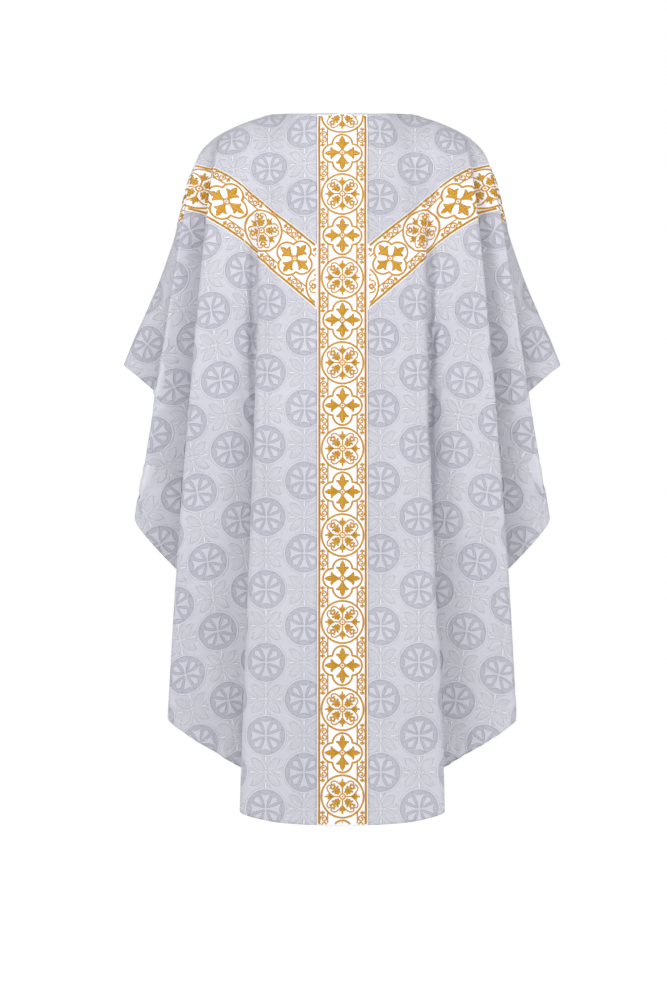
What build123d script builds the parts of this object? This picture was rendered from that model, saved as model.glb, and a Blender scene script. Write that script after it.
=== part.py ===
from build123d import *

import os

import numpy as np

# A semi-gothic chasuble, hanging empty over a pair of shoulders, as it does on a stand.
# Millimetres, +Z up. The origin is the centre of the neck opening, level with the
# inner ends of the shoulder seams. The wearer faces +Y, so the back faces -Y.
#
# Every layer is worked out from one drape per panel. Long fold lines run from the top
# edge to the hem; each is a curve in space with a straight line on the flat cloth, and
# the cloth between two of them is a smooth blend. Layers are offsets of that drape.

# Driving dimensions of the flat cut
LENGTH = 1300.0            # from the level of the neck points down to the hem, at the centre
HALF_WIDTH = 645.0         # centre line to the outer end of the shoulder seam
SHOULDER_SLOPE = np.radians(20.0)
NECK_HALF_WIDTH = 115.0
BACK_NECK_DEPTH = 60.0
FRONT_NECK_DEPTH = 100.0
HEM_POWER = 2.4            # the hem is a superellipse, squarer than a circle

# Galloon: the woven braid of the Y-shaped orphrey
TAPE_WIDTH = 88.0
ARM_ROOT = 394.0           # where an arm's centre line meets the centre of the panel
ARM_ANGLE = np.radians(41.0)
TUCK = 14.0                # how far an arm runs in under the pillar

# Tapes, facings and bindings inside
HEM_TAPE_WIDTH = 22.0
LINING_SETBACK = 12.0
FACING_WIDTH = 50.0
BINDING_WIDTH = 8.0

# Layers, as distances out from the face of the damask
DAMASK = (0.0, -1.2)
TAPES = (-2.2, -3.0)
LINING = (-4.0, -4.8)
BINDING = (-7.6, -8.4)
ARM_TAPE = (0.8, 1.8)
PILLAR_TAPE = (2.6, 3.6)

# Worked out from the cut
SEAM_DROP = (HALF_WIDTH - NECK_HALF_WIDTH) * np.tan(SHOULDER_SLOPE)
SEAM_LENGTH = (HALF_WIDTH - NECK_HALF_WIDTH) / np.cos(SHOULDER_SLOPE)

# The shoulder seam in space, (x, z): out along the shoulder, then down the side
SHOULDER_LINE = np.array([
    (115, 0), (151, -9), (198, -27), (230, -45), (248, -63), (259, -81), (268, -98),
    (280, -134), (289, -172), (299, -215), (313, -260), (331, -310), (352, -360),
    (375, -412), (392, -455),
], dtype=float)


class Fold:
    """One fold line, from the top edge to the hem.

    place: its place across the half panel, from 0 at the centre to 1 at the side.
    seam: where it starts, in millimetres along the shoulder seam; from -1 to 0 it
        starts on the neckline, from the centre to the neck point.
    hem_angle: where it ends on the hem, from 0 at the centre to 90 at the side.
    hem: the end of the fold in space, drawn for the back panel.
    over: the first control arm, which takes the cloth over the shoulder.
    hang: the second control arm, which brings it down on to the hem.
    """

    def __init__(self, place, seam, hem_angle, hem=None, over=None, hang=None):
        self.place = place
        self.seam = seam
        self.hem_angle = np.radians(hem_angle)
        self.hem = hem
        self.over = over
        self.hang = hang


FOLDS = [
    Fold(0.00, -1.0, 0.0, (0, -165, -1262), (0, -38, -100), (0, 0, 850)),
    Fold(0.07, -0.5, 6.5, (104, -170, -1257), (4, -60, -80), (-10, 0, 850)),
    Fold(0.14, 6, 12.7, (180, -156, -1240), (5, -110, -25), (-45, -20, 800)),
    Fold(0.22, 40, 19.2, (125, -120, -1200), (20, -125, -20), (22, 8, 780)),
    Fold(0.31, 70, 30.0, (215, -90, -1140), (18, -125, -20), (-10, -30, 760)),
    Fold(0.40, 100, 38.2, (298, -80, -1096), (16, -115, -20), (-25, -35, 700)),
    Fold(0.52, 125, 53.8, (210, -48, -930), (20, -80, -30), (-12, 6, 600)),
    Fold(0.66, 145, 69.3, (362, -42, -742), (34, -74, -40), (-50, -32, 450)),
    Fold(0.80, 162, 79.6, (225, -26, -622), (20, -42, -60), (-2, 6, 350)),
    Fold(0.92, 178, 87.1, (322, -24, -515), (20, -40, -45), (-20, -14, 200)),
    Fold(1.00, 190, 90.0),
]
PLACES = np.array([fold.place for fold in FOLDS])
FOLD_STEPS = 201
ROWS = 25                  # points down each line of a large sheet


def slopes(places, values, flat_end):
    """Tangents that keep a curve through the values free of overshoot.

    With flat_end the curve arrives square to the last fold line, so that the front
    and back cloth meet in a round edge there.
    """
    secants = np.diff(values, axis=0) / np.diff(places)[:, None, None]
    before = secants[:-1]
    after = secants[1:]
    same_way = before * after > 0
    total = np.where(same_way, before + after, 1.0)
    inner = np.where(same_way, 2 * before * after / total, 0.0)
    last = secants[-1:] * (np.array([0.0, 1.6, 0.0]) if flat_end else 1.0)
    return np.concatenate([secants[:1], inner, last])


def blend(places, values, where, flat_end=False):
    """Smooth curves through values, one curve per point, read at where.

    values has one row per place, then one entry per point, then the coordinates.
    """
    tangents = slopes(places, values, flat_end)
    i = np.clip(np.searchsorted(places, where, side="right") - 1, 0, len(places) - 2)
    point = np.arange(len(where))
    width = (places[i + 1] - places[i])[:, None]
    k = (where - places[i])[:, None] / width
    start = (1 + 2 * k) * values[i, point] + k * width * tangents[i, point]
    end = (3 - 2 * k) * values[i + 1, point] + (k - 1) * width * tangents[i + 1, point]
    return (1 - k) ** 2 * start + k * k * end


def path_lengths(points):
    """Distance along a polyline at each of its points."""
    steps = np.linalg.norm(np.diff(points, axis=0), axis=1)
    return np.concatenate([[0.0], np.cumsum(steps)])


SEAM_STATIONS = path_lengths(SHOULDER_LINE)


def seam_point(distance):
    """The shoulder seam in space, at a distance from the neck point along the cloth."""
    station = np.array([distance / SEAM_LENGTH * SEAM_STATIONS[-1]])
    x, z = blend(SEAM_STATIONS, SHOULDER_LINE[:, None], station)[0]
    return np.array([x, 0.0, z])


def hem_flat(angle):
    """The hem on the flat cloth."""
    across = HALF_WIDTH * np.sin(angle) ** (2 / HEM_POWER)
    down = SEAM_DROP + (LENGTH - SEAM_DROP) * max(np.cos(angle), 0.0) ** (2 / HEM_POWER)
    return np.array([across, down])


class Panel:
    """The drape of the front or back, as a map from the flat cloth into space."""

    def __init__(self, facing, neck_depth, neck_reach, neck_drop):
        self.facing = facing            # -1 for the back, +1 for the front
        self.neck_depth = neck_depth
        self.neck_reach = neck_reach
        self.neck_drop = neck_drop
        runs = [self.fold_run(fold) for fold in FOLDS]
        self.space = np.array([run[0] for run in runs])
        self.flat = np.array([run[1] for run in runs])
        self.flat_lengths = np.linalg.norm(self.flat[:, -1] - self.flat[:, 0], axis=1)

    def top(self, seam):
        """A point of the top edge, in space and on the flat cloth."""
        if seam > 0:
            across = NECK_HALF_WIDTH + seam * np.cos(SHOULDER_SLOPE)
            return seam_point(seam), np.array([across, seam * np.sin(SHOULDER_SLOPE)])
        turn = np.pi / 2 * (1 + seam)
        side = NECK_HALF_WIDTH * np.sin(turn)
        space = np.array([side, -self.neck_reach * np.cos(turn), -self.neck_drop * np.cos(turn)])
        return space, np.array([side, self.neck_depth * np.cos(turn)])

    def fold_run(self, fold):
        """A fold line in equal steps, in space and on the flat cloth."""
        start, flat_start = self.top(fold.seam)
        flat_end = hem_flat(fold.hem_angle)
        if fold.hem is None:
            distances = np.linspace(fold.seam, SEAM_LENGTH, FOLD_STEPS)
            curve = np.array([seam_point(distance) for distance in distances])
        else:
            end = np.array(fold.hem, dtype=float)
            first = start + np.array(fold.over)
            second = end + np.array(fold.hang)
            k = np.linspace(0, 1, FOLD_STEPS)[:, None]
            curve = (1 - k) ** 3 * start + 3 * k * (1 - k) ** 2 * first
            curve = curve + 3 * k * k * (1 - k) * second + k ** 3 * end
        stations = path_lengths(curve)
        steps = np.linspace(0, 1, FOLD_STEPS)
        even = [np.interp(steps * stations[-1], stations, curve[:, axis]) for axis in range(3)]
        flat = flat_start + (flat_end - flat_start) * steps[:, None]
        return np.stack(even, axis=-1), flat

    def down(self, table, v):
        """Every fold line's values at the fractions v of the way down."""
        row = np.clip(v, 0, 1) * (FOLD_STEPS - 1)
        i = np.minimum(row.astype(int), FOLD_STEPS - 2)
        part = (row - i)[None, :, None]
        return table[:, i] * (1 - part) + table[:, i + 1] * part

    def point(self, u, v):
        """The face of the damask in space; u runs from -1 to 1 across, v down."""
        place = blend(PLACES, self.down(self.space, v), np.abs(u), flat_end=True)
        place[:, 0] *= np.sign(u)
        place[:, 1] *= -self.facing
        return place

    def cloth(self, u, v):
        """The same points on the flat cloth: across from the centre, and down."""
        place = blend(PLACES, self.down(self.flat, v), np.abs(u))
        place[:, 0] *= np.sign(u)
        return place

    def locate(self, target):
        """u and v of points of the flat cloth, by Newton's method."""
        u = 0.3 * np.sign(target[:, 0])
        v = np.full(len(target), 0.3)
        step = 1e-4
        for _ in range(30):
            here = self.cloth(u, v)
            along_u = (self.cloth(u + step, v) - here) / step
            along_v = (self.cloth(u, v + step) - here) / step
            jacobian = np.stack([along_u, along_v], axis=-1)
            move = np.linalg.solve(jacobian, (target - here)[..., None])[..., 0]
            u = np.clip(u + np.clip(move[:, 0], -0.1, 0.1), -0.999, 0.999)
            v = np.clip(v + np.clip(move[:, 1], -0.1, 0.1), 0.0, 0.999)
        return u, v

    def share(self, u, width):
        """A width of flat cloth as a fraction of the way down."""
        return width / np.interp(np.abs(u), PLACES, self.flat_lengths)

    def normal(self, u, v):
        """The outward normals of the damask, in the seam's own plane at the seam."""
        step = 0.004
        inside = np.maximum(v, 0.01)
        right = self.point(np.minimum(u + step, 1.0), inside)
        left = self.point(np.maximum(u - step, -1.0), inside)
        lower = self.point(u, np.minimum(inside + step, 1.0))
        upper = self.point(u, inside - step)
        normal = self.facing * np.cross(right - left, lower - upper)
        on_seam = (np.abs(u) == 1.0) | ((v == 0.0) & (np.abs(u) >= PLACES[2]))
        normal[on_seam, 1] = 0.0
        return normal / np.linalg.norm(normal, axis=1, keepdims=True)

    def layer(self, u, v, depth):
        """Lines of points down the cloth, at a distance out from the damask."""
        points = self.point(u.ravel(), v.ravel()) + depth * self.normal(u.ravel(), v.ravel())
        return points.reshape(*u.shape, 3)


BACK = Panel(-1, BACK_NECK_DEPTH, 85.0, 18.0)
FRONT = Panel(1, FRONT_NECK_DEPTH, 82.0, 62.0)


def strip_faces(lines):
    """Ruled faces between neighbouring lines, each a smooth curve down the cloth."""
    edges = [Edge.make_spline([Vector(*point) for point in line]) for line in lines]
    return [Face.make_surface_from_curves(one, two) for one, two in zip(edges, edges[1:])], edges


def end_faces(outer, inner, row):
    """The narrow faces that close one end of the strips."""
    faces = []
    for i in range(len(outer) - 1):
        top = Edge.make_line(Vector(*outer[i][row]), Vector(*outer[i + 1][row]))
        bottom = Edge.make_line(Vector(*inner[i][row]), Vector(*inner[i + 1][row]))
        faces.append(Face.make_surface_from_curves(top, bottom))
    return faces


def skin(outer, inner):
    """A closed solid between two matching sets of lines."""
    outer_faces, outer_edges = strip_faces(outer)
    inner_faces, inner_edges = strip_faces(inner)
    sides = [Face.make_surface_from_curves(outer_edges[k], inner_edges[k]) for k in (0, -1)]
    ends = end_faces(outer, inner, 0) + end_faces(outer, inner, -1)
    solid = Solid(Shell(outer_faces + inner_faces + sides + ends))
    return solid if solid.volume > 0 else Solid(solid.wrapped.Reversed())


def grid(across, first, last, rows):
    """Matching grids of u and v, from the fraction first to last of the way down."""
    share = np.linspace(0, 1, rows)[None, :]
    first = np.broadcast_to(first, across.shape)[:, None]
    last = np.broadcast_to(last, across.shape)[:, None]
    return np.repeat(across[:, None], rows, axis=1), first + (last - first) * share


def columns(limit=1.0, steps=4):
    """Places across the panel, a few to each stretch between fold lines."""
    half = [np.linspace(a, b, steps, endpoint=False) for a, b in zip(PLACES, PLACES[1:])]
    half = np.append(np.concatenate(half), 1.0)
    half = half[half <= limit]
    return np.concatenate([-half[:0:-1], half])


def layer_solid(panel, u, v, depths):
    return skin(panel.layer(u, v, depths[0]), panel.layer(u, v, depths[1]))


def sheet(panel, depths):
    """A layer over the whole panel."""
    return layer_solid(panel, *grid(columns(), 0.0, 1.0, ROWS), depths)


def lining(panel):
    across = columns()
    end = 1 - panel.share(across, LINING_SETBACK)
    return layer_solid(panel, *grid(across, 0.0, end, ROWS), LINING)


def hem_tape(panel):
    across = columns()
    start = 1 - panel.share(across, HEM_TAPE_WIDTH)
    return layer_solid(panel, *grid(across, start, 1.0, 3), TAPES)


def neck_facing(panel):
    across = columns(limit=PLACES[3])
    end = panel.share(across, FACING_WIDTH)
    return layer_solid(panel, *grid(across, 0.0, end, 3), TAPES)


def flat_solid(panel, lines, depths):
    """A layer over lines of points given on the flat cloth."""
    u, v = panel.locate(lines.reshape(-1, 2))
    shape = lines.shape[:2]
    return layer_solid(panel, u.reshape(shape), v.reshape(shape), depths)


def pillar(panel):
    """The upright of the orphrey, from the neckline to the hem."""
    lines = []
    for across in np.linspace(-TAPE_WIDTH / 2, TAPE_WIDTH / 2, 5):
        neckline = panel.neck_depth * np.sqrt(1 - (across / NECK_HALF_WIDTH) ** 2)
        hem = (1 - (abs(across) / HALF_WIDTH) ** HEM_POWER) ** (1 / HEM_POWER)
        hem = SEAM_DROP + (LENGTH - SEAM_DROP) * hem
        down = np.linspace(neckline, hem, 21)
        lines.append(np.stack([np.full(21, across), down], axis=-1))
    return flat_solid(panel, np.array(lines), PILLAR_TAPE)


def arm(panel, side):
    """One arm of the orphrey, from under the pillar up to the shoulder seam."""
    along = np.array([np.cos(ARM_ANGLE), -np.sin(ARM_ANGLE)])
    over = np.array([np.sin(ARM_ANGLE), np.cos(ARM_ANGLE)])
    slope = np.tan(SHOULDER_SLOPE)
    lines = []
    for offset in np.linspace(-TAPE_WIDTH / 2, TAPE_WIDTH / 2, 7):
        root = np.array([0.0, ARM_ROOT]) + offset * over
        start = (TAPE_WIDTH / 2 - TUCK - root[0]) / along[0]
        seam_gap = root[1] - (root[0] - NECK_HALF_WIDTH) * slope
        end = seam_gap / (along[0] * slope - along[1])
        reach = np.linspace(start, end, 31)[:, None]
        lines.append(root + reach * along)
    lines = np.array(lines)
    if side < 0:
        lines = lines[::-1] * np.array([-1.0, 1.0])
    return flat_solid(panel, lines, ARM_TAPE)


def shoulder_binding(side):
    """The bias strip over the joined edges of the lining, inside the shoulder seam."""
    distances = np.linspace(0, SEAM_LENGTH - LINING_SETBACK, 25)
    seam = np.array([seam_point(distance) for distance in distances])
    run = np.gradient(seam, axis=0)
    outward = np.stack([-run[:, 2], 0 * run[:, 0], run[:, 0]], axis=-1)
    outward /= np.linalg.norm(outward, axis=1, keepdims=True)
    faces = []
    for depth in BINDING:
        lines = []
        for across in np.linspace(-BINDING_WIDTH / 2, BINDING_WIDTH / 2, 3):
            line = seam + depth * outward + np.array([0.0, across, 0.0])
            lines.append(line * np.array([side, 1.0, 1.0]))
        faces.append(np.array(lines))
    return skin(*faces)


def build():
    pieces = {}
    for name, panel in (("back", BACK), ("front", FRONT)):
        pieces[name + "_panel"] = sheet(panel, DAMASK)
        pieces[name + "_lining"] = lining(panel)
        pieces[name + "_hem_tape"] = hem_tape(panel)
        pieces[name + "_neck_facing"] = neck_facing(panel)
        pieces[name + "_pillar_orphrey"] = pillar(panel)
        pieces[name + "_left_arm_orphrey"] = arm(panel, -1)
        pieces[name + "_right_arm_orphrey"] = arm(panel, 1)
    pieces["left_shoulder_binding"] = shoulder_binding(-1)
    pieces["right_shoulder_binding"] = shoulder_binding(1)
    return pieces


os.makedirs("parts", exist_ok=True)
for node, solid in build().items():
    export_step(solid, f"parts/{node}.step")
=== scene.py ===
import math

import bpy
import numpy as np
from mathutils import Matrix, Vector


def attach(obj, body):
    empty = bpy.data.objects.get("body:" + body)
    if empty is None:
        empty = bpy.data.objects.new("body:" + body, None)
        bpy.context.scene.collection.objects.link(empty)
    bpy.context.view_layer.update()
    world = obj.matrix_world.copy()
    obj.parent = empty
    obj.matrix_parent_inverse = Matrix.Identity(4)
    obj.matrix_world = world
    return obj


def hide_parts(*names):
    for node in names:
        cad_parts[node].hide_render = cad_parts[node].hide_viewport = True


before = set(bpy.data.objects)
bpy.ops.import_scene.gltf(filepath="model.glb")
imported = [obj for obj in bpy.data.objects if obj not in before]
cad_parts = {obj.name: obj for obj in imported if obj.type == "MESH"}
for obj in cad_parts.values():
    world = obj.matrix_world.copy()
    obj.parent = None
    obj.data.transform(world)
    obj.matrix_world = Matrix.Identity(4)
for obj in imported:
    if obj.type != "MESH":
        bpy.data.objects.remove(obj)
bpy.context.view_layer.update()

# A semi-gothic chasuble seen from behind, hanging over a pair of shoulders.
# Metres, in the row frame: +Z up, the wearer faces +Y, the back faces -Y. The origin
# is the centre of the neck opening. The cloth is draped along the same fold lines as
# the CAD model and relaxed to its flat lengths; every piece is laid out on that cloth.

# ---------------------------------------------------------------- the flat cut
MM = 0.001
LENGTH = 1.300             # from the level of the neck points down to the hem
HALF_WIDTH = 0.645         # centre line to the outer end of the shoulder seam
SLOPE = math.radians(20.0)
NECK_HALF_WIDTH = 0.115
BACK_NECK_DEPTH = 0.060
FRONT_NECK_DEPTH = 0.100
HEM_POWER = 2.4            # the hem is a superellipse, squarer than a circle
SEAM_DROP = (HALF_WIDTH - NECK_HALF_WIDTH) * math.tan(SLOPE)
SEAM_LENGTH = (HALF_WIDTH - NECK_HALF_WIDTH) / math.cos(SLOPE)

# Depths below and heights above the face of the damask, for each layer
DAMASK_THICKNESS = 0.0010
BAND = (-0.0014, -0.0022)          # hem tape and neck facing
LINING = (-0.0030, -0.0037)
BINDING = (-0.0060, -0.0068)
ARM_TAPE = (0.0002, 0.0010)
PILLAR_TAPE = (0.0014, 0.0022)

LINING_SETBACK = 0.012
HEM_TAPE_WIDTH = 0.022
FACING_WIDTH = 0.050
BINDING_WIDTH = 0.010
STITCH_INSET = 0.014       # the hem's stitching, in from the edge
STITCH = 0.0034            # length of a stitch, and the gap to the next
STITCH_GAP = 0.0018
STITCH_WIDTHS = (0.0003, 0.0007, 0.0003)
STITCH_HEIGHT = 0.0003

# The shoulder seam in space, (x, z): out along the shoulder, then down the side
SHOULDER_LINE = np.array([
    (0.115, 0), (0.151, -0.009), (0.198, -0.027), (0.230, -0.045), (0.248, -0.063),
    (0.259, -0.081), (0.268, -0.098), (0.280, -0.134), (0.289, -0.172), (0.299, -0.215),
    (0.313, -0.260), (0.331, -0.310), (0.352, -0.360), (0.375, -0.412), (0.392, -0.455),
])

# Fold lines: place across the half panel, start along the shoulder seam (from -1 to 0
# on the neckline), angle round the hem, end on the hem, and the two control arms that
# take the cloth over the shoulder and bring it down on to the hem. The last is the seam.
FOLDS = [
    (0.00, -1.0, 0.0, (0, -0.165, -1.262), (0, -0.038, -0.100), (0, 0, 0.850)),
    (0.07, -0.5, 6.5, (0.104, -0.170, -1.257), (0.004, -0.060, -0.080), (-0.010, 0, 0.850)),
    (0.14, 0.006, 12.7, (0.180, -0.156, -1.240), (0.005, -0.110, -0.025), (-0.045, -0.020, 0.800)),
    (0.22, 0.040, 19.2, (0.125, -0.120, -1.200), (0.020, -0.125, -0.020), (0.022, 0.008, 0.780)),
    (0.31, 0.070, 30.0, (0.215, -0.090, -1.140), (0.018, -0.125, -0.020), (-0.010, -0.030, 0.760)),
    (0.40, 0.100, 38.2, (0.298, -0.080, -1.096), (0.016, -0.115, -0.020), (-0.025, -0.035, 0.700)),
    (0.52, 0.125, 53.8, (0.210, -0.048, -0.930), (0.020, -0.080, -0.030), (-0.012, 0.006, 0.600)),
    (0.66, 0.145, 69.3, (0.362, -0.042, -0.742), (0.034, -0.074, -0.040), (-0.050, -0.032, 0.450)),
    (0.80, 0.162, 79.6, (0.225, -0.026, -0.622), (0.020, -0.042, -0.060), (-0.002, 0.006, 0.350)),
    (0.92, 0.178, 87.1, (0.322, -0.024, -0.515), (0.020, -0.040, -0.045), (-0.020, -0.014, 0.200)),
    (1.00, 0.190, 90.0, None, None, None),
]
PLACES = np.array([fold[0] for fold in FOLDS])
FOLD_STEPS = 201
COLUMN_STEP = 0.012        # spacing of the cloth grid, measured along the hem
ROWS = 101
RELAX_STEPS = 120
# Threads of that grid: steps across, steps down, and how hard one pushes back when it
# is slack, as a share of how hard it pulls when it is tight.
LINKS = ((1, 0, 0.6), (0, 1, 1.0), (1, 1, 0.4), (1, -1, 0.4), (3, 0, 0.10), (0, 3, 0.15))
RIPPLES = 7                # faint waves that start the small folds of a panel
RIPPLE_HEIGHT = 0.0016
SAG = 0.00004              # how far the cloth drops at each step
SIDE_START = 0.88          # beyond this place across, the side fold is held nearer to its line
TOP_SHARE = 0.10           # the share of the length that the shoulders hold


# ---------------------------------------------------------------- curves and grids
def blend(places, values, where, flat_end=False):
    """Smooth curves through values, without overshoot, read at where.

    values has one row per place, then one entry per point, then the coordinates.
    With flat_end the curves arrive square to the last place, in a round edge.
    """
    secants = np.diff(values, axis=0) / np.diff(places)[:, None, None]
    before, after = secants[:-1], secants[1:]
    same_way = before * after > 0
    total = np.where(same_way, before + after, 1.0)
    inner = np.where(same_way, 2 * before * after / total, 0.0)
    last = secants[-1:] * (np.array([0.0, 1.6, 0.0]) if flat_end else 1.0)
    tangents = np.concatenate([secants[:1], inner, last])
    i = np.clip(np.searchsorted(places, where, side="right") - 1, 0, len(places) - 2)
    point = np.arange(len(where))
    width = (places[i + 1] - places[i])[:, None]
    k = (where - places[i])[:, None] / width
    start = (1 + 2 * k) * values[i, point] + k * width * tangents[i, point]
    end = (3 - 2 * k) * values[i + 1, point] + (k - 1) * width * tangents[i + 1, point]
    return (1 - k) ** 2 * start + k * k * end


def stations(points):
    """Distance along a polyline at each of its points."""
    steps = np.linalg.norm(np.diff(points, axis=0), axis=1)
    return np.concatenate([[0.0], np.cumsum(steps)])


def seam_points(distances):
    """The shoulder seam in space, at distances from the neck point along the cloth."""
    along = stations(SHOULDER_LINE)
    values = np.repeat(SHOULDER_LINE[:, None], len(distances), axis=1)
    xz = blend(along, values, np.asarray(distances) / SEAM_LENGTH * along[-1])
    return np.stack([xz[:, 0], np.zeros(len(xz)), xz[:, 1]], axis=-1)


def hem_flat(angle):
    """The hem on the flat cloth."""
    across = HALF_WIDTH * math.sin(angle) ** (2 / HEM_POWER)
    down = SEAM_DROP + (LENGTH - SEAM_DROP) * max(math.cos(angle), 0.0) ** (2 / HEM_POWER)
    return np.array([across, down])


def halve_steps(grid, axis):
    """Adds a point midway between each two along an axis, on a smooth curve."""
    grid = np.moveaxis(grid, axis, 0)
    before = 2 * grid[:1] - grid[1:2]
    after = 2 * grid[-1:] - grid[-2:-1]
    padded = np.concatenate([before, grid, after])
    finer = np.empty((2 * len(grid) - 1, *grid.shape[1:]))
    finer[0::2] = grid
    finer[1::2] = (9 * (padded[1:-2] + padded[2:-1]) - padded[:-3] - padded[3:]) / 16
    return np.moveaxis(finer, 0, axis)


def spread(place, count):
    """The four neighbours of a fractional index, each with its weight."""
    start = np.clip(np.floor(place).astype(int), 0, count - 2)
    k = place - start
    weights = [
        (-k ** 3 + 2 * k ** 2 - k) / 2,
        (3 * k ** 3 - 5 * k ** 2 + 2) / 2,
        (-3 * k ** 3 + 4 * k ** 2 + k) / 2,
        (k ** 3 - k ** 2) / 2,
    ]
    return [(np.clip(start + n - 1, 0, count - 1), w) for n, w in enumerate(weights)]


def sample(grid, i, j):
    """Reads a grid of points between its own points, on smooth curves."""
    total = 0.0
    for row, weight in spread(i, grid.shape[0]):
        for column, share in spread(j, grid.shape[1]):
            total = total + grid[row, column] * (weight * share)[..., None]
    return total


def unit(vectors):
    size = np.linalg.norm(vectors, axis=-1, keepdims=True)
    return vectors / np.maximum(size, 1e-12)


# ---------------------------------------------------------------- the draped cloth
def link_sets(shape, du, dv):
    """Pairs of slices of a grid du, dv apart, in sets that move no point twice."""
    axis = 0 if du else 1
    hop = du or dv
    upper = slice(max(0, -dv), shape[1] - max(0, dv))
    lower = slice(max(0, dv), shape[1] - max(0, -dv))
    sets = []
    for start in range(2 * hop):
        first = np.arange(start, shape[axis] - hop, 2 * hop)
        if axis == 0:
            sets.append((np.s_[first, upper], np.s_[first + hop, lower]))
        else:
            sets.append((np.s_[:, first], np.s_[:, first + hop]))
    return sets


def pull_together(points, free, one, two, rest, give):
    """Moves two sets of points to their rest distance, slackly where they are close."""
    gap = points[two] - points[one]
    size = np.linalg.norm(gap, axis=-1)
    pull = (size - rest) / np.maximum(size, 1e-9)
    pull = np.where(pull > 0, pull, pull * give)
    total = np.maximum(free[one] + free[two], 1e-9)
    move = (pull / total)[..., None] * gap
    points[one] += free[one][..., None] * move
    points[two] -= free[two][..., None] * move


class Cloth:
    """The cloth of one panel: its flat cut and its place in space, on one grid."""

    def __init__(self, name, facing, neck_depth, neck_reach, neck_drop, seed):
        self.name = name
        self.facing = facing            # -1 for the back, +1 for the front
        self.neck_depth = neck_depth    # on the flat cloth, and then in space:
        self.neck_reach = neck_reach
        self.neck_drop = neck_drop
        self.lines = np.array([self.fold_line(fold) for fold in FOLDS])
        self.columns = self.spread_columns()
        u, v = np.meshgrid(self.columns, np.linspace(0, 1, ROWS), indexing="ij")
        flat = self.read(u, v, slice(3, 5))
        points = self.relax(self.read(u, v, slice(0, 3)), flat, u, v, seed)
        self.columns = halve_steps(self.columns[:, None], 0)[:, 0]
        self.flat = halve_steps(halve_steps(flat, 0), 1)
        self.points = halve_steps(halve_steps(points, 0), 1)
        self.normals = self.grid_normals(self.points)

    def fold_line(self, fold):
        """A fold line in equal steps: x, y, z, then across and down on the flat cloth."""
        _, seam, angle, end, over, hang = fold
        if seam > 0:
            start = seam_points([seam])[0]
            across = NECK_HALF_WIDTH + seam * math.cos(SLOPE)
            flat_start = np.array([across, seam * math.sin(SLOPE)])
        else:
            turn = math.pi / 2 * (1 + seam)
            side = NECK_HALF_WIDTH * math.sin(turn)
            inward = math.cos(turn)
            start = np.array([side, -self.neck_reach * inward, -self.neck_drop * inward])
            flat_start = np.array([side, self.neck_depth * inward])
        if end is None:
            curve = seam_points(np.linspace(seam, SEAM_LENGTH, FOLD_STEPS))
        else:
            k = np.linspace(0, 1, FOLD_STEPS)[:, None]
            end = np.array(end)
            curve = (1 - k) ** 3 * start + 3 * k * (1 - k) ** 2 * (start + over)
            curve = curve + 3 * k * k * (1 - k) * (end + hang) + k ** 3 * end
        along = stations(curve)
        steps = np.linspace(0, 1, FOLD_STEPS)
        even = [np.interp(steps * along[-1], along, curve[:, axis]) for axis in range(3)]
        flat = flat_start + (hem_flat(math.radians(angle)) - flat_start) * steps[:, None]
        return np.concatenate([np.stack(even, axis=-1), flat], axis=-1)

    def spread_columns(self):
        """Places across the panel, about evenly spaced along the hem."""
        half = []
        ends = self.lines[:, -1, 3:]
        for i in range(len(PLACES) - 1):
            count = max(6, round(np.linalg.norm(ends[i + 1] - ends[i]) / COLUMN_STEP))
            half.append(np.linspace(PLACES[i], PLACES[i + 1], count, endpoint=False))
        half = np.append(np.concatenate(half), 1.0)
        return np.concatenate([-half[:0:-1], half])

    def read(self, u, v, kind):
        """The fold lines' blend at u (-1 to 1 across) and v (0 to 1 down)."""
        shape = np.shape(u)
        u, v = np.ravel(u), np.ravel(v)
        row = np.clip(v, 0, 1) * (FOLD_STEPS - 1)
        i = np.minimum(row.astype(int), FOLD_STEPS - 2)
        part = (row - i)[None, :, None]
        values = self.lines[:, i, kind] * (1 - part) + self.lines[:, i + 1, kind] * part
        in_space = kind.start == 0
        place = blend(PLACES, values, np.abs(u), flat_end=in_space)
        place[:, 0] *= np.sign(u)
        if in_space:
            place[:, 1] *= -self.facing
        return place.reshape(*shape, -1)

    def relax(self, start, flat, u, v, seed):
        """Lets the cloth find its own lengths between the places that hold it."""
        rng = np.random.default_rng(seed)
        wave = np.zeros(u.shape)
        for _ in range(RIPPLES):
            turns = rng.uniform(7, 15)
            lean = rng.uniform(-7.5, 7.5)
            phase = rng.uniform(0, 2 * math.pi)
            wave += np.sin(2 * math.pi * turns * flat[..., 0] + lean * v + phase)
        side = np.clip((np.abs(u) - SIDE_START) / (1 - SIDE_START), 0, 1)
        growth = np.clip((v - 0.12) / 0.5, 0, 1) * (1 - side)
        points = start + self.grid_normals(start) * (wave * growth * RIPPLE_HEIGHT)[..., None]
        top = np.clip(1 - v / TOP_SHARE, 0, 1) ** 2
        hold = 0.02 + 0.9 * np.maximum(top, 0.5 * side)
        free = np.ones(u.shape)
        free[:, 0] = 0.0
        free[[0, -1], :] = 0.0
        links = []
        for du, dv, give in LINKS:
            for one, two in link_sets(u.shape, du, dv):
                rest = np.linalg.norm(flat[two] - flat[one], axis=-1)
                links.append((one, two, rest, give))
        for _ in range(RELAX_STEPS):
            points[..., 2] -= SAG * free
            for link in links:
                pull_together(points, free, *link)
            points += (start - points) * (hold * free)[..., None] * 0.5
        return points

    def grid_normals(self, points):
        """Outward normals, kept in the plane of the shoulder seam where they meet it."""
        across = np.gradient(points, axis=0)
        down = np.gradient(points, axis=1)
        normals = self.facing * np.cross(across, down)
        normals[[0, -1], :, 1] = 0.0
        normals[np.abs(self.columns) >= PLACES[2], 0, 1] = 0.0
        return unit(normals)

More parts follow.
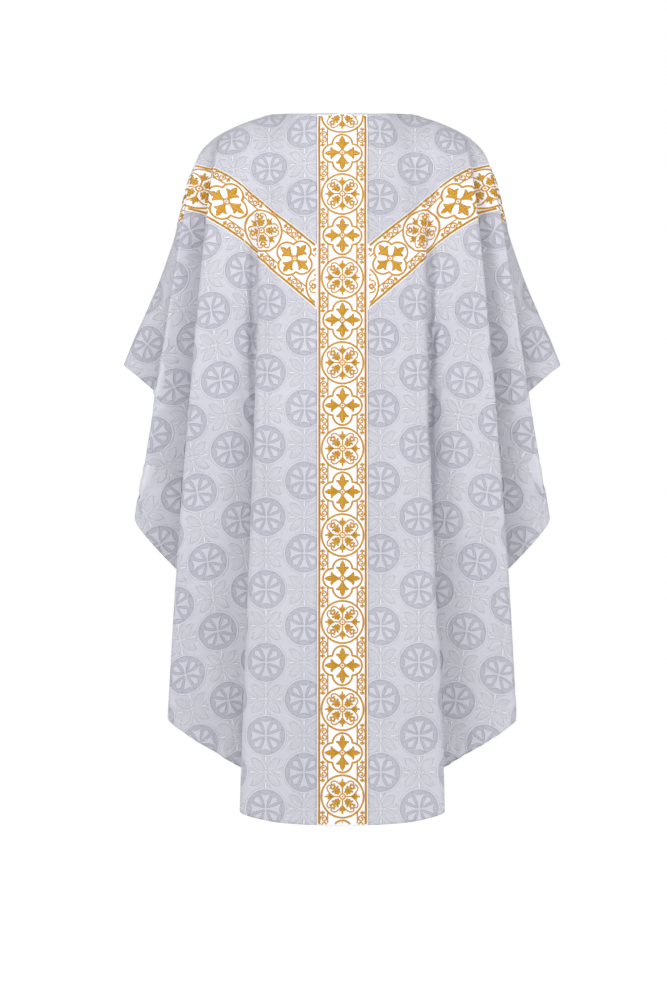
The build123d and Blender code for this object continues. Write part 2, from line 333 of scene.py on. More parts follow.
    def at(self, u, v):
        """The face of the cloth at u and v: points in space, and outward normals."""
        column = np.interp(u, self.columns, np.arange(len(self.columns)))
        row = v * (self.points.shape[1] - 1)
        return sample(self.points, column, row), unit(sample(self.normals, column, row))

    def locate(self, target):
        """u and v of points of the flat cloth, by Newton's method."""
        u = 0.3 * np.sign(target[..., 0])
        v = np.full(u.shape, 0.3)
        step = 1e-4
        for _ in range(25):
            here = self.read(u, v, slice(3, 5))
            along_u = (self.read(u + step, v, slice(3, 5)) - here) / step
            along_v = (self.read(u, v + step, slice(3, 5)) - here) / step
            jacobian = np.stack([along_u, along_v], axis=-1)
            move = np.linalg.solve(jacobian, (target - here)[..., None])[..., 0]
            u = np.clip(u + np.clip(move[..., 0], -0.1, 0.1), -0.999, 0.999)
            v = np.clip(v + np.clip(move[..., 1], -0.1, 0.1), 0.0, 0.9995)
        return u, v

    def share(self, u, width):
        """A width of flat cloth as a fraction of the way down."""
        lengths = np.linalg.norm(self.lines[:, -1, 3:] - self.lines[:, 0, 3:], axis=1)
        return width / np.interp(np.abs(u), PLACES, lengths)


BACK = Cloth("back", -1, BACK_NECK_DEPTH, neck_reach=0.085, neck_drop=0.018, seed=3)
FRONT = Cloth("front", 1, FRONT_NECK_DEPTH, neck_reach=0.082, neck_drop=0.062, seed=8)


# ---------------------------------------------------------------- meshes
def grid_faces(index, flip=False):
    corners = [index[:-1, :-1], index[1:, :-1], index[1:, 1:], index[:-1, 1:]]
    quads = np.stack(corners, axis=-1).reshape(-1, 4)
    return quads[:, ::-1] if flip else quads


def new_object(name, points, faces, material, uv=None):
    mesh = bpy.data.meshes.new(name)
    mesh.from_pydata(np.reshape(points, (-1, 3)).tolist(), [], faces)
    mesh.update()
    mesh.polygons.foreach_set("use_smooth", [True] * len(mesh.polygons))
    if uv is not None:
        layer = mesh.uv_layers.new(name="flat")
        corner = np.empty(len(mesh.loops), dtype=np.int32)
        mesh.loops.foreach_get("vertex_index", corner)
        layer.data.foreach_set("uv", np.reshape(uv, (-1, 2))[corner].ravel())
    mesh.materials.append(material)
    obj = bpy.data.objects.new(name, mesh)
    bpy.context.scene.collection.objects.link(obj)
    return obj


def closed_sheet(name, outer, inner, flat, material, facing):
    """A thin closed sheet between two matching grids of points."""
    index = np.arange(outer.shape[0] * outer.shape[1]).reshape(outer.shape[:2])
    count = index.size
    loop = np.concatenate([index[:-1, 0], index[-1, :-1], index[:0:-1, -1], index[0, :0:-1]])
    after = np.roll(loop, -1)
    rim = np.stack([loop, loop + count, after + count, after], axis=-1)
    faces = np.concatenate([
        grid_faces(index, facing < 0),
        grid_faces(index + count, facing > 0),
        rim if facing < 0 else rim[:, ::-1],
    ])
    points = np.concatenate([outer.reshape(-1, 3), inner.reshape(-1, 3)])
    uv = np.concatenate([flat.reshape(-1, 2)] * 2)
    return new_object(name, points, faces.tolist(), material, uv)


# ---------------------------------------------------------------- galloon
TAPE_WIDTH = 0.088
ARM_ROOT = 0.394           # where an arm's centre line meets the centre of the panel
ARM_ANGLE = math.radians(41.0)
TUCK = 0.014               # how far an arm runs in under the pillar
TAPE_STEP = 0.004
PITCH = 0.0743             # from one medallion of the braid to the next
ROUNDEL_RADIUS = 0.0360
LOBE = 0.0168              # radius of each lobe of the quatrefoil, and its reach
EDGE_LINE = 0.0398         # double gold line, out from the centre of the braid
EDGE_GAP = 0.0018
INNER_LINE = 0.0253
SCROLL_LINE = 0.0326
GOLD_HEIGHT = 0.00060
GOLD_SPREAD = 0.0011       # metal thread swells a stroke beyond its drawn width
ARM_FIRST_LEAF = 0.1106    # first quatrefoil of an arm, out from the pillar's centre line
ARM_PITCH = 0.0780         # its pitch at the pillar end, and how the pitch grows
ARM_GIVE = 0.0040


class Tape:
    """A length of galloon sewn on a panel, with its own along and across.

    root, turn, mirror: where its centre line starts on the flat cloth, and which way
        it runs.
    first, last: its two ends, each a distance along for a place across.
    heights: its underside and its top, above the damask.
    pattern: turns a distance along the woven pattern into one along the braid.
    hidden: how much of the first end lies under the pillar.
    medallions: how many of the pattern's medallions it has room for.
    """

    def __init__(self, cloth, root, turn, mirror, first, last, heights,
                 pattern, hidden, medallions):
        down = np.array([mirror * math.sin(turn), math.cos(turn)])
        over = np.array([mirror * math.cos(turn), -math.sin(turn)])
        self.first = first
        self.last = last
        self.heights = heights
        self.pattern = pattern
        self.hidden = hidden
        self.medallions = medallions
        self.facing = cloth.facing * mirror
        self.length = last(0.0) - first(0.0)
        share = np.linspace(0, 1, round(self.length / TAPE_STEP))
        across = np.linspace(-TAPE_WIDTH / 2, TAPE_WIDTH / 2, 25)
        across = np.repeat(across[:, None], len(share), axis=1)
        along = first(across) + (last(across) - first(across)) * share
        self.flat = np.stack([across, along], axis=-1)
        on_cloth = np.array(root) + along[..., None] * down + across[..., None] * over
        self.points, self.normals = cloth.at(*cloth.locate(on_cloth))

    def shows(self, along, across, margin):
        """Whether places on the braid are clear of its ends and of the pillar."""
        after = along > self.first(across) + self.hidden + margin
        return after & (along < self.last(across) - margin)

    def place(self, along, across, height):
        """Points in space, a height above the top of the braid."""
        share = (along - self.first(across)) / (self.last(across) - self.first(across))
        column = (across / TAPE_WIDTH + 0.5) * (self.points.shape[0] - 1)
        row = share * (self.points.shape[1] - 1)
        lift = (height + self.heights[1])[..., None]
        return sample(self.points, column, row) + lift * unit(sample(self.normals, column, row))


def pillar_tape(cloth):
    """The upright of the orphrey, from the neckline to the hem."""
    def neckline(across):
        return cloth.neck_depth * np.sqrt(1 - (across / NECK_HALF_WIDTH) ** 2) + 0.0005

    def hem(across):
        shape = (1 - (np.abs(across) / HALF_WIDTH) ** HEM_POWER) ** (1 / HEM_POWER)
        return SEAM_DROP + (LENGTH - SEAM_DROP) * shape - 0.0008

    def from_neckline(place):
        return place + cloth.neck_depth

    return Tape(cloth, (0, 0), 0.0, 1, neckline, hem, PILLAR_TAPE,
                pattern=from_neckline, hidden=0.0, medallions=19)


def arm_tape(cloth, side):
    """One arm of the orphrey, from under the pillar up to the shoulder seam."""
    rise, run = math.sin(ARM_ANGLE), math.cos(ARM_ANGLE)
    slope = math.tan(SLOPE)

    def under_pillar(across):
        return (TAPE_WIDTH / 2 - TUCK + across * rise) / run

    def seam(across):
        gap = ARM_ROOT - across * run + (across * rise + NECK_HALF_WIDTH) * slope
        return gap / (run * slope + rise) - 0.0015

    def eased(place):
        """The braid gives a little more the nearer it comes to the shoulder."""
        step = place / PITCH - 1
        return ARM_FIRST_LEAF + ARM_PITCH * step + ARM_GIVE * step ** 2

    return Tape(cloth, (0, ARM_ROOT), math.pi / 2 + ARM_ANGLE, side, under_pillar, seam,
                ARM_TAPE, pattern=eased, hidden=(TUCK + 0.0006) / run, medallions=6)


# ---------------------------------------------------------------- gold strokes
# A stroke is (path, widths, closed). Motifs are drawn in millimetres, across then along.
STROKE_STEP = 1.3
PROFILE = np.array([(-0.5, 0.0), (-0.28, 0.8), (0.28, 0.8), (0.5, 0.0), (0.0, -0.3)])


def stroke(points, widths, step=STROKE_STEP):
    """A smooth stroke through some points, its widths spread evenly along it."""
    points = np.array(points, dtype=float)
    count = max(3, round(stations(points)[-1] / step) + 1)
    t = np.linspace(0, len(points) - 1, count)
    path = sum(points[i] * weight[:, None] for i, weight in spread(t, len(points)))
    return path, np.interp(t, np.linspace(0, len(points) - 1, len(widths)), widths), False


def ring(radius, width):
    turn = np.linspace(0, 2 * math.pi, max(10, round(radius * 2 * math.pi / 2)), endpoint=False)
    path = radius * np.stack([np.cos(turn), np.sin(turn)], axis=-1)
    return path, np.full(len(path), width), True


def turned(strokes, quarters, mirror=1):
    """Strokes mirrored across the braid, then turned by quarter turns."""
    angle = quarters * math.pi / 2
    turn = np.array([[math.cos(angle), math.sin(angle)], [-math.sin(angle), math.cos(angle)]])
    return [(path * (mirror, 1) @ turn, widths, closed) for path, widths, closed in strokes]


def both_ways(strokes):
    return strokes + turned(strokes, 0, mirror=-1)


def dot(size):
    return stroke([(0, -size / 2), (0, 0), (0, size / 2)], (size * 0.4, size, size * 0.4), 0.7)


def on_diagonal(points):
    """Points given along and beside the diagonal, as across and along."""
    return [((out - side) / math.sqrt(2), (out + side) / math.sqrt(2)) for out, side in points]


def roundel():
    """The round medallion: a ring round eight scrolls, four sprigs and four leaves."""
    half = [
        stroke([(0.4, 15.5), (3.2, 19.4), (6.8, 22.7), (12.4, 26.2), (17.4, 25.3),
                (19.4, 22.2), (17.3, 19.4), (14.6, 20.0), (14.6, 22.2)], (1.3, 1.3, 1.4, 2.2)),
        stroke([(0, 16.5), (1.5, 21.0), (4.8, 25.2)], (1.0, 2.2, 0.6)),
    ]
    for root, tip, side, width in ((9.0, 8.6, 3.8, 2.8), (11.5, 13.0, 6.0, 3.2),
                                   (15.0, 18.4, 7.6, 3.4), (19.0, 23.0, 4.2, 2.6)):
        middle = ((root + tip) / 2, side * 0.55)
        half.append(stroke(on_diagonal([(root, 0.4), middle, (tip, side)]), (1.4, width, 1.5)))
    quarter = both_ways(half) + [
        stroke([(0, 5.0), (0, 15.0)], (1.3, 1.2)),
        stroke([(0, 15.0), (0, 20.0), (0, 24.5), (0, 30.4)], (1.0, 2.6, 3.4, 0.6)),
        stroke(on_diagonal([(8.0, 0), (14.0, 0), (22.0, 0)]), (1.6, 2.2, 1.0)),
    ]
    strokes = [ring(ROUNDEL_RADIUS / MM, 2.3), ring(4.6, 1.4), dot(2.8)]
    for quarters in range(4):
        strokes += turned(quarter, quarters)
    return strokes


def quatrefoil():
    """Four round lobes about a solid cross of four fleurs."""
    lobe = LOBE / MM
    turn = np.linspace(-math.pi / 2, math.pi / 2, 22, endpoint=False)
    side = np.stack([lobe + lobe * np.cos(turn), lobe * np.sin(turn)], axis=-1)
    lobes = [turned([(side, 0, True)], quarters)[0][0] for quarters in range(4)]
    outline = np.concatenate(lobes)
    fleur = [stroke([(0, 4.8), (0, 9), (0, 14), (0, 18.5), (0, 21), (0, 24), (0, 30.6)],
                    (3.2, 4.4, 6.6, 8.4, 7.2, 8.2, 0.5))]
    fleur += both_ways([stroke([(1.0, 9.0), (3.2, 14.0), (6.4, 17.8), (11.2, 18.6)],
                               (3.0, 4.8, 4.8, 0.9))])
    strokes = [(outline, np.full(len(outline), 2.3), True), ring(4.4, 1.4), dot(2.8)]
    for quarters in range(4):
        strokes += turned(fleur, quarters)
    return strokes


def side_spray():
    """The little double scroll that fills the border between two medallions."""
    half = [
        stroke([(-1.0, 10.7), (-4.6, 7.6), (-5.8, 3.4), (-6.1, 0)], (0.9, 1.1, 1.0)),
        stroke([(-1.0, 10.7), (3.4, 9.0), (5.2, 5.2), (3.0, 1.5), (-1.0, 2.1), (-2.4, 5.4),
                (-0.4, 7.3), (0.9, 5.6)], (1.0, 1.3, 1.3, 1.2, 2.0)),
        stroke([(-1.0, 10.7), (-1.8, 14.2), (-0.4, 18.2)], (0.9, 1.0, 2.2)),
        stroke([(-1.6, 13.6), (-4.0, 15.0), (-3.4, 17.0)], (0.9, 1.6, 0.7)),
        stroke([(-1.6, 14.2), (1.4, 14.6), (2.4, 16.4)], (0.9, 1.6, 0.7)),
    ]
    return half + turned(half, 2, mirror=-1)


def moved(strokes, across, along, mirror=1):
    """Motif strokes in metres, at a place on the braid."""
    return [(path * MM * (mirror, 1) + (across, along), widths * MM + GOLD_SPREAD, closed)
            for path, widths, closed in strokes]


def braid_strokes(tape):
    """Every gold stroke of a length of galloon."""
    strokes = []
    gaps = (math.sqrt(ROUNDEL_RADIUS ** 2 - INNER_LINE ** 2),
            math.sqrt(LOBE ** 2 - (INNER_LINE - LOBE) ** 2))
    for step in range(tape.medallions):
        here = step * PITCH
        strokes += moved(quatrefoil() if step % 2 else roundel(), 0, here)
        start = here + gaps[step % 2]
        end = here + PITCH - gaps[1 - step % 2]
        for side in (-1, 1):
            line = [(side * INNER_LINE / MM, start / MM), (side * INNER_LINE / MM, end / MM)]
            strokes += moved([stroke(line, (1.4, 1.4), 4)], 0, 0)
            strokes += moved(side_spray(), side * SCROLL_LINE, (start + end) / 2, -side)
    reach = tape.medallions * PITCH / MM
    for side in (-1, 1):
        for place in (EDGE_LINE - EDGE_GAP / 2, EDGE_LINE + EDGE_GAP / 2):
            line = [(side * place / MM, -2 * PITCH / MM), (side * place / MM, reach)]
            strokes += moved([stroke(line, (0.7, 0.7), 4)], 0, 0)
    return strokes


def shown_runs(tape, path, widths, closed):
    """The parts of a stroke that show, each with whether it still closes on itself."""
    shows = tape.shows(tape.pattern(path[:, 1]), path[:, 0], 0.0006 + widths / 2)
    if shows.all():
        return [(path, widths, closed)]
    if not shows.any():
        return []
    if closed:
        turn = np.argmin(shows)
        path, widths, shows = (np.roll(a, -turn, axis=0) for a in (path, widths, shows))
    marks = np.diff(np.concatenate([[0], shows.astype(int), [0]]))
    starts, ends = np.flatnonzero(marks == 1), np.flatnonzero(marks == -1)
    return [(path[a:b], widths[a:b], False) for a, b in zip(starts, ends) if b - a > 1]


class Threads:
    """Low rounded strokes lying on a surface, gathered up into one mesh."""

    def __init__(self, facing, height):
        self.facing = facing
        self.height = height
        self.places = []
        self.lifts = []
        self.uv = []
        self.faces = []
        self.count = 0

    def add(self, path, widths, closed):
        if closed:
            run = np.roll(path, -1, axis=0) - np.roll(path, 1, axis=0)
        else:
            run = np.gradient(path, axis=0)
        run = unit(run)
        side = np.stack([run[:, 1], -run[:, 0]], axis=-1)
        offset = widths[:, None] * PROFILE[:, 0]
        self.places.append((path[:, None] + offset[..., None] * side[:, None]).reshape(-1, 2))
        lift = np.minimum(0.4 * widths, self.height)[:, None] * PROFILE[:, 1]
        self.lifts.append(lift.ravel())
        station = np.repeat(stations(path)[:, None], len(PROFILE), axis=1)
        self.uv.append(np.stack([offset, station], axis=-1).reshape(-1, 2))
        index = self.count + np.arange(lift.size).reshape(lift.shape).T
        index = np.concatenate([index, index[:1]])
        if closed:
            index = np.concatenate([index, index[:, :1]], axis=1)
        flip = self.facing < 0
        self.faces += grid_faces(index, flip).tolist()
        if not closed:
            for cap in (index[-2::-1, 0], index[:-1, -1]):
                self.faces.append((cap[::-1] if flip else cap).tolist())
        self.count += lift.size

    def build(self, name, place, material):
        points = place(np.concatenate(self.places), np.concatenate(self.lifts))
        return new_object(name, points, self.faces, material, np.concatenate(self.uv))


# ---------------------------------------------------------------- materials
class Signal:
    """A number that shader nodes work out at each point of a surface."""

    def __init__(self, tree, socket):
        self.tree = tree
        self.socket = socket

    def math(self, operation, *others):
        node = self.tree.nodes.new("ShaderNodeMath")
        node.operation = operation
        self.tree.links.new(self.socket, node.inputs[0])
        for slot, other in enumerate(others, 1):
            if isinstance(other, Signal):
                self.tree.links.new(other.socket, node.inputs[slot])
            else:
                node.inputs[slot].default_value = other
        return Signal(self.tree, node.outputs[0])

    def __add__(self, other):
        return self.math("ADD", other)

    def __sub__(self, other):
        return self.math("SUBTRACT", other)

    def __mul__(self, other):
        return self.math("MULTIPLY", other)

    def __neg__(self):
        return self.math("MULTIPLY", -1.0)

    def __abs__(self):
        return self.math("ABSOLUTE")

    def least(self, other):
        return self.math("MINIMUM", other)

    def most(self, other):
        return self.math("MAXIMUM", other)

    def hypot(self, other):
        return (self * self + other * other).math("SQRT")

    def step(self, low, high):
        """0 below low, 1 above high, and smooth between."""
        node = self.tree.nodes.new("ShaderNodeMapRange")
        node.interpolation_type = "SMOOTHSTEP"
        node.inputs["From Min"].default_value = low
        node.inputs["From Max"].default_value = high
        self.tree.links.new(self.socket, node.inputs["Value"])
        return Signal(self.tree, node.outputs["Result"])


class Paint:
    """A procedural material: a principled shader and the nodes that feed it."""

    def __init__(self, name, roughness, metallic=0.0, sheen=0.0, anisotropy=0.0):
        self.material = bpy.data.materials.new(name)
        self.material.use_nodes = True
        self.tree = self.material.node_tree
        self.shader = self.tree.nodes["Principled BSDF"]
        self.shader.inputs["Roughness"].default_value = roughness
        self.shader.inputs["Metallic"].default_value = metallic
        self.shader.inputs["Sheen Weight"].default_value = sheen
        self.shader.inputs["Anisotropic"].default_value = anisotropy

    def flat(self):
        """Across and down on the flat cloth, in metres."""
        source = self.tree.nodes.new("ShaderNodeUVMap")
        source.uv_map = "flat"
        parts = self.tree.nodes.new("ShaderNodeSeparateXYZ")
        self.tree.links.new(source.outputs[0], parts.inputs[0])
        return Signal(self.tree, parts.outputs[0]), Signal(self.tree, parts.outputs[1])

    def noise(self, across, down, detail):
        """Noise about 0.5, over two signals that count its grains."""
        joined = self.tree.nodes.new("ShaderNodeCombineXYZ")
        self.tree.links.new(across.socket, joined.inputs[0])
        self.tree.links.new(down.socket, joined.inputs[1])
        node = self.tree.nodes.new("ShaderNodeTexNoise")
        node.noise_dimensions = "2D"
        node.inputs["Scale"].default_value = 1.0
        node.inputs["Detail"].default_value = detail
        self.tree.links.new(joined.outputs[0], node.inputs["Vector"])
        return Signal(self.tree, node.outputs[0])

    def colour(self, dark, light, share):
        mix = self.tree.nodes.new("ShaderNodeMix")
        mix.data_type = "RGBA"
        mix.inputs["A"].default_value = (*dark, 1)
        mix.inputs["B"].default_value = (*light, 1)
        self.tree.links.new(share.socket, mix.inputs["Factor"])
        self.tree.links.new(mix.outputs["Result"], self.shader.inputs["Base Color"])

    def roughness(self, smooth, rough, share):
        mixed = share * (rough - smooth) + smooth
        self.tree.links.new(mixed.socket, self.shader.inputs["Roughness"])

    def relief(self, height, distance):
        bump = self.tree.nodes.new("ShaderNodeBump")
        bump.inputs["Distance"].default_value = distance
        self.tree.links.new(height.socket, bump.inputs["Height"])
        self.tree.links.new(bump.outputs[0], self.shader.inputs["Normal"])


LATTICE_ACROSS = 0.0655    # from a medallion of the damask to the flower beside it
LATTICE_DOWN = 0.0623
LATTICE_START = 0.0240
DISC_RADIUS = 34.0         # in millimetres, as are both figures


def medallion_figure(across, down):
    """The woven disc with its cross and sprays, in millimetres from its centre."""
    radius = across.hypot(down)
    long = abs(across).most(abs(down))
    short = abs(across).least(abs(down))
    out = (long + short) * math.sqrt(0.5)
    beside = (long - short) * math.sqrt(0.5)
    disc = (-radius + DISC_RADIUS).step(-0.5, 0.5)
    outline = (-abs(radius - DISC_RADIUS) + 1.6).step(-0.5, 0.5)
    arm = (long * long * 0.0125 + 1.6 - short).least(short * short * 0.035 + 24.0 - long)
    spray = ((out - 6.0) * 0.36).least(-out * 1.2 + 33.0) - beside
    figure = arm.most(spray).step(-0.5, 0.5)
    return disc, outline.most(figure)


def flower_figure(across, down):
    """The flower between the discs: four leaves on the diagonals, dots and buds."""
    long = abs(across).most(abs(down))
    short = abs(across).least(abs(down))
    out = (long + short) * math.sqrt(0.5)
    beside = (long - short) * math.sqrt(0.5)
    leaf = (out - 4.0) * (-out + 34.0) * 0.031 - beside
    veins = (beside * 3.2 + out * 1.6).math("SINE").step(-0.2, 0.4)
    figure = leaf.step(-0.4, 0.6) * (veins * 0.55 + 0.45)
    dots = (-(long - 6.6).hypot(short) + 2.1).step(-0.4, 0.4)
    buds = (-((long - 22.0) * 0.32).hypot(short) + 1.9).step(-0.4, 0.4)
    stems = (-abs(short - (long - 13.0) * 0.55) + 0.9).step(-0.4, 0.4)
    stems = stems * (long - 13.0).step(-0.5, 0.5) * (-long + 27.0).step(-0.5, 0.5)
    return figure.most(dots).most(buds).most(stems)


def damask_material():
    """Silver-white satin damask: medallions and flowers on a half-drop lattice."""
    paint = Paint("silver_damask", 0.4, sheen=0.2, anisotropy=0.35)
    across, down = paint.flat()
    column = across * (1 / LATTICE_ACROSS)
    row = (down - LATTICE_START) * (1 / LATTICE_DOWN)
    one = (column + row) * 0.5
    two = (column - row) * 0.5
    from_disc = [cell - cell.math("ROUND") for cell in (one, two)]
    from_flower = [cell - cell.math("FLOOR") - 0.5 for cell in (one, two)]
    places = []
    for first, second in (from_disc, from_flower):
        places.append((first + second) * (LATTICE_ACROSS / MM))
        places.append((first - second) * (LATTICE_DOWN / MM))
    disc, figure = medallion_figure(*places[:2])
    flower = flower_figure(*places[2:])
    figure = figure.most(flower)
    ground = paint.noise(across * 700, down * 260, 3.0)
    cloudy = paint.noise(across * 9, down * 6, 2.0)
    tone = figure * 0.42 - disc * 0.40 + ground * 0.36 + cloudy * 0.30 + 0.20
    paint.colour((0.40, 0.40, 0.47), (0.70, 0.70, 0.77), tone)
    paint.roughness(0.28, 0.50, figure * -0.6 + disc * 0.3 + ground * 0.3 + 0.5)
    weave = (across * 5200 + down * 5200).math("SINE") * 0.03
    paint.relief(figure * 0.8 - disc * 0.35 + ground * 0.2 + weave, 0.0017)
    return paint.material


def braid_material():
    """The white ground of the galloon, ribbed across."""
    paint = Paint("braid_ground", 0.62, sheen=0.2)
    across, along = paint.flat()
    ribs = (along * 4200).math("SINE") * 0.5 + 0.5
    grain = paint.noise(across * 900, along * 300, 2.0)
    paint.colour((0.82, 0.84, 0.89), (0.93, 0.94, 0.97), ribs * 0.35 + grain * 0.65)
    paint.relief(ribs * 0.5 + grain * 0.5, 0.00015)
    return paint.material


def gold_material():
    """Gold metal thread, wound: fine ridges across every stroke."""
    paint = Paint("gold_thread", 0.40, metallic=0.25, anisotropy=0.3)
    across, along = paint.flat()
    wound = (along * 9000 + across * 3500).math("SINE") * 0.5 + 0.5
    patches = paint.noise(across * 260, along * 260, 2.0)
    paint.colour((0.38, 0.17, 0.003), (0.72, 0.37, 0.012), patches * 0.8 + wound * 0.25)
    paint.relief(wound * 0.7 + patches * 0.3, 0.00012)
    return paint.material


def plain_material(name, dark, light, roughness, sheen, weave=3600):
    """A plain woven cloth."""
    paint = Paint(name, roughness, sheen=sheen)
    across, down = paint.flat()
    threads = (across * weave).math("SINE") * (down * weave).math("SINE") * 0.5 + 0.5
    grain = paint.noise(across * 500, down * 120, 3.0)
    paint.colour(dark, light, threads * 0.3 + grain * 0.7)
    paint.relief(threads * 0.5 + grain * 0.5, 0.00012)
    return paint.material


DAMASK_CLOTH = damask_material()
BRAID = braid_material()
GOLD = gold_material()
LINING_CLOTH = plain_material("lining_satin", (0.55, 0.55, 0.61), (0.68, 0.68, 0.74), 0.38, 0.1)
CANVAS = plain_material("canvas", (0.66, 0.64, 0.58), (0.80, 0.78, 0.72), 0.85, 0.1, 2400)
BIAS = plain_material("bias_satin", (0.52, 0.52, 0.58), (0.66, 0.66, 0.72), 0.42, 0.1)
STITCHING = plain_material("stitching", (0.70, 0.70, 0.76), (0.84, 0.84, 0.90), 0.5, 0.1, 9000)


# ---------------------------------------------------------------- pieces
def flat_area(flat):
    """The area of a grid of places on the flat cloth."""
    one = flat[1:, 1:] - flat[:-1, :-1]
    two = flat[:-1, 1:] - flat[1:, :-1]
    return float(np.abs(one[..., 0] * two[..., 1] - one[..., 1] * two[..., 0]).sum() / 2)


def settle(piece, node):
    """Puts a piece on the garment, in place of a CAD node."""
    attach(piece, "root")
    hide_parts(node)


def cloth_layer(kind, cloth, u, v, heights, material):
    """A sheet over part of a panel, between two heights from the damask's face."""
    name = f"{cloth.name}_{kind}"
    points, normals = cloth.at(u, v)
    flat = cloth.read(u, v, slice(3, 5))
    outer = points + heights[0] * normals
    inner = points + heights[1] * normals
    piece = closed_sheet(name, outer, inner, flat, material, cloth.facing)
    return piece, flat_area(flat)


def panel(cloth):
    side = cloth.name
    inner = cloth.points - DAMASK_THICKNESS * cloth.normals
    piece = closed_sheet(side + "_damask", cloth.points, inner, cloth.flat,
                         DAMASK_CLOTH, cloth.facing)
    settle(piece, side + "_panel")
    stitches = hem_stitches(cloth)
    flat_area(cloth.flat)


def hem_stitches(cloth):
    """The line of stitching that holds up the hem."""
    u = np.linspace(-0.997, 0.997, 1200)
    line = cloth.read(u, 1 - cloth.share(u, STITCH_INSET), slice(3, 5))
    along = stations(line)
    threads = Threads(cloth.facing, STITCH_HEIGHT)
    for start in np.arange(0, along[-1] - STITCH, STITCH + STITCH_GAP):
        steps = start + np.linspace(0, STITCH, 3)
        path = np.stack([np.interp(steps, along, line[:, axis]) for axis in (0, 1)], axis=-1)
        threads.add(path, np.array(STITCH_WIDTHS), False)

    def place(flat, lift):
        points, normals = cloth.at(*cloth.locate(flat))
        return points + lift[:, None] * normals

    piece = threads.build(cloth.name + "_hem_stitches", place, STITCHING)
    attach(piece, "root")
    return piece


def lining(cloth):
    u = cloth.columns[::2]
    depth = 1 - cloth.share(u, LINING_SETBACK)
    v = depth[:, None] * np.linspace(0, 1, ROWS)
    u = np.repeat(u[:, None], ROWS, axis=1)
    piece, area = cloth_layer("lining_satin", cloth, u, v, LINING, LINING_CLOTH)
    settle(piece, cloth.name + "_lining")


def hem_band(cloth):
    """The tape inside the hem, between the damask and the lining."""
    u = cloth.columns[::2]
    top = 1 - cloth.share(u, HEM_TAPE_WIDTH)
    v = top[:, None] + (1 - top[:, None]) * np.linspace(0, 1, 4)
    u = np.repeat(u[:, None], 4, axis=1)
    piece, area = cloth_layer("hem_band", cloth, u, v, BAND, CANVAS)
    settle(piece, cloth.name + "_hem_tape")


def neck_band(cloth):
    """The facing that stiffens the neckline."""
    u = cloth.columns[np.abs(cloth.columns) <= PLACES[3]]
    v = cloth.share(u, FACING_WIDTH)[:, None] * np.linspace(0, 1, 8)
    u = np.repeat(u[:, None], 8, axis=1)
    piece, area = cloth_layer("neck_band", cloth, u, v, BAND, CANVAS)
    settle(piece, cloth.name + "_neck_facing")


def braid(name, cloth, tape):
    """A length of galloon: its woven ground, and the gold on it."""
    name = f"{cloth.name}_{name}"
    rounded = np.where(np.abs(tape.flat[..., 0]) > TAPE_WIDTH / 2 - 0.001, 0.0003, 0.0)
    outer = tape.points + (tape.heights[1] - rounded)[..., None] * tape.normals
    inner = tape.points + tape.heights[0] * tape.normals
    ground = closed_sheet(name + "_braid", outer, inner, tape.flat, BRAID, tape.facing)
    settle(ground, name + "_orphrey")
    threads = Threads(tape.facing, GOLD_HEIGHT)
    for drawn in braid_strokes(tape):
        for part in shown_runs(tape, *drawn):
            threads.add(*part)

    def place(places, lift):
        return tape.place(tape.pattern(places[:, 1]), places[:, 0], lift)

    gold = threads.build(name + "_gold", place, GOLD)
    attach(gold, "root")
    size = (TAPE_WIDTH, max(tape.length, flat_area(tape.flat) / TAPE_WIDTH))
    flat_area(tape.flat)


def seam_binding(side, mirror):
    """The bias strip over the joined edges of the lining, inside the shoulder seam."""
    seam = seam_points(np.linspace(0.002, SEAM_LENGTH - LINING_SETBACK, 90))
    run = np.gradient(seam, axis=0)
    outward = unit(np.stack([-run[:, 2], 0 * run[:, 0], run[:, 0]], axis=-1))
    across = np.linspace(-BINDING_WIDTH / 2, BINDING_WIDTH / 2, 5)
    crown = 0.0006 * (1 - (2 * across / BINDING_WIDTH) ** 2)
    faces = []
    for depth in BINDING:
        lift = (depth - crown)[:, None, None] * outward
        grid = seam + lift + across[:, None, None] * np.array([0.0, 1.0, 0.0])
        faces.append(grid * np.array([mirror, 1.0, 1.0]))
    flat = np.stack(np.meshgrid(across, stations(seam), indexing="ij"), axis=-1)
    piece = closed_sheet(side + "_seam_binding", *faces, flat, BIAS, -mirror)
    settle(piece, side + "_shoulder_binding")


def garment():
    for cloth in (BACK, FRONT):
        panel(cloth)
        lining(cloth)
        hem_band(cloth)
        neck_band(cloth)
        braid("pillar", cloth, pillar_tape(cloth))
        for hand, mirror in (("left", -1), ("right", 1)):
            braid(hand + "_arm", cloth, arm_tape(cloth, mirror))
    seam_binding("left", -1)
    seam_binding("right", 1)


garment()


# ---------------------------------------------------------------- camera and light
VIEW_DISTANCE = 4.15
EYE_ACROSS = -0.0155
EYE_HEIGHT = -0.868        # the lens is level with the lower back
LENS = 83.5
AIM_UP = math.radians(2.35)
FLOOR = -1.75
FLOOR_REACH = 40
FLOOR_GLOW = 0.72          # enough to look as white as the backdrop
BACKDROP_LIGHT = 0.30      # what the backdrop lights with, and how bright it looks
BACKDROP_LOOK = 1.0


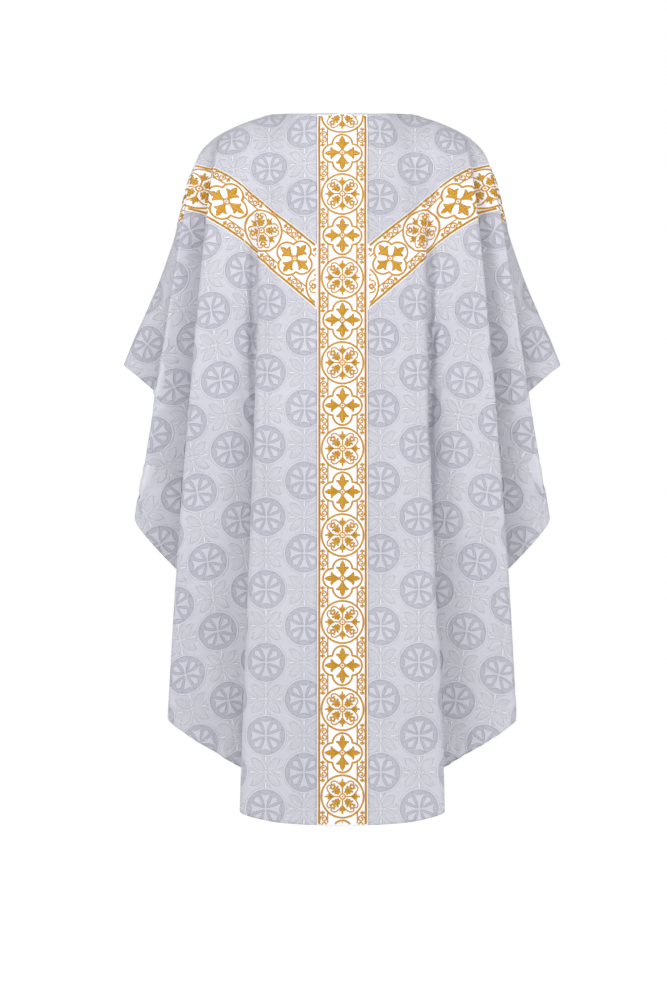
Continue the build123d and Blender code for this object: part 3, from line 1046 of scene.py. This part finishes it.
def camera():
    data = bpy.data.cameras.new("camera")
    data.lens = LENS
    data.sensor_width = 36.0
    cam = bpy.data.objects.new("camera", data)
    cam.location = (EYE_ACROSS, -VIEW_DISTANCE, EYE_HEIGHT)
    cam.rotation_euler = (math.pi / 2 + AIM_UP, 0, 0)
    bpy.context.scene.collection.objects.link(cam)
    bpy.context.scene.camera = cam


def area_light(name, place, target, size, power):
    data = bpy.data.lights.new(name, "AREA")
    data.shape = "RECTANGLE"
    data.size, data.size_y = size
    data.energy = power
    lamp = bpy.data.objects.new(name, data)
    lamp.location = place
    lamp.rotation_mode = "QUATERNION"
    lamp.rotation_quaternion = (Vector(target) - Vector(place)).to_track_quat("-Z", "Y")
    bpy.context.scene.collection.objects.link(lamp)


def studio():
    signs = ((-1, -1), (1, -1), (1, 1), (-1, 1))
    corners = [(x * FLOOR_REACH, y * FLOOR_REACH, FLOOR) for x, y in signs]
    paint = Paint("studio_floor", 0.9)
    paint.shader.inputs["Base Color"].default_value = (0.93, 0.93, 0.93, 1)
    paint.shader.inputs["Emission Color"].default_value = (1, 1, 1, 1)
    paint.shader.inputs["Emission Strength"].default_value = FLOOR_GLOW
    new_object("floor", corners, [[0, 1, 2, 3]], paint.material)
    world = bpy.data.worlds.new("studio")
    bpy.context.scene.world = world
    world.use_nodes = True
    nodes, links = world.node_tree.nodes, world.node_tree.links
    sky = nodes["Background"]
    sky.inputs["Color"].default_value = (1, 1, 1, 1)
    seen = nodes.new("ShaderNodeLightPath")
    share = nodes.new("ShaderNodeMapRange")
    share.inputs["To Min"].default_value = BACKDROP_LIGHT
    share.inputs["To Max"].default_value = BACKDROP_LOOK
    links.new(seen.outputs["Is Camera Ray"], share.inputs["Value"])
    links.new(share.outputs["Result"], sky.inputs["Strength"])
    bpy.context.scene.view_settings.view_transform = "Standard"
    area_light("key", (-1.9, -2.5, 2.2), (0, 0, -0.6), (1.0, 1.4), 80)
    area_light("fill", (2.3, -2.5, 1.8), (0, 0, -0.6), (1.2, 1.6), 54)


camera()
studio()
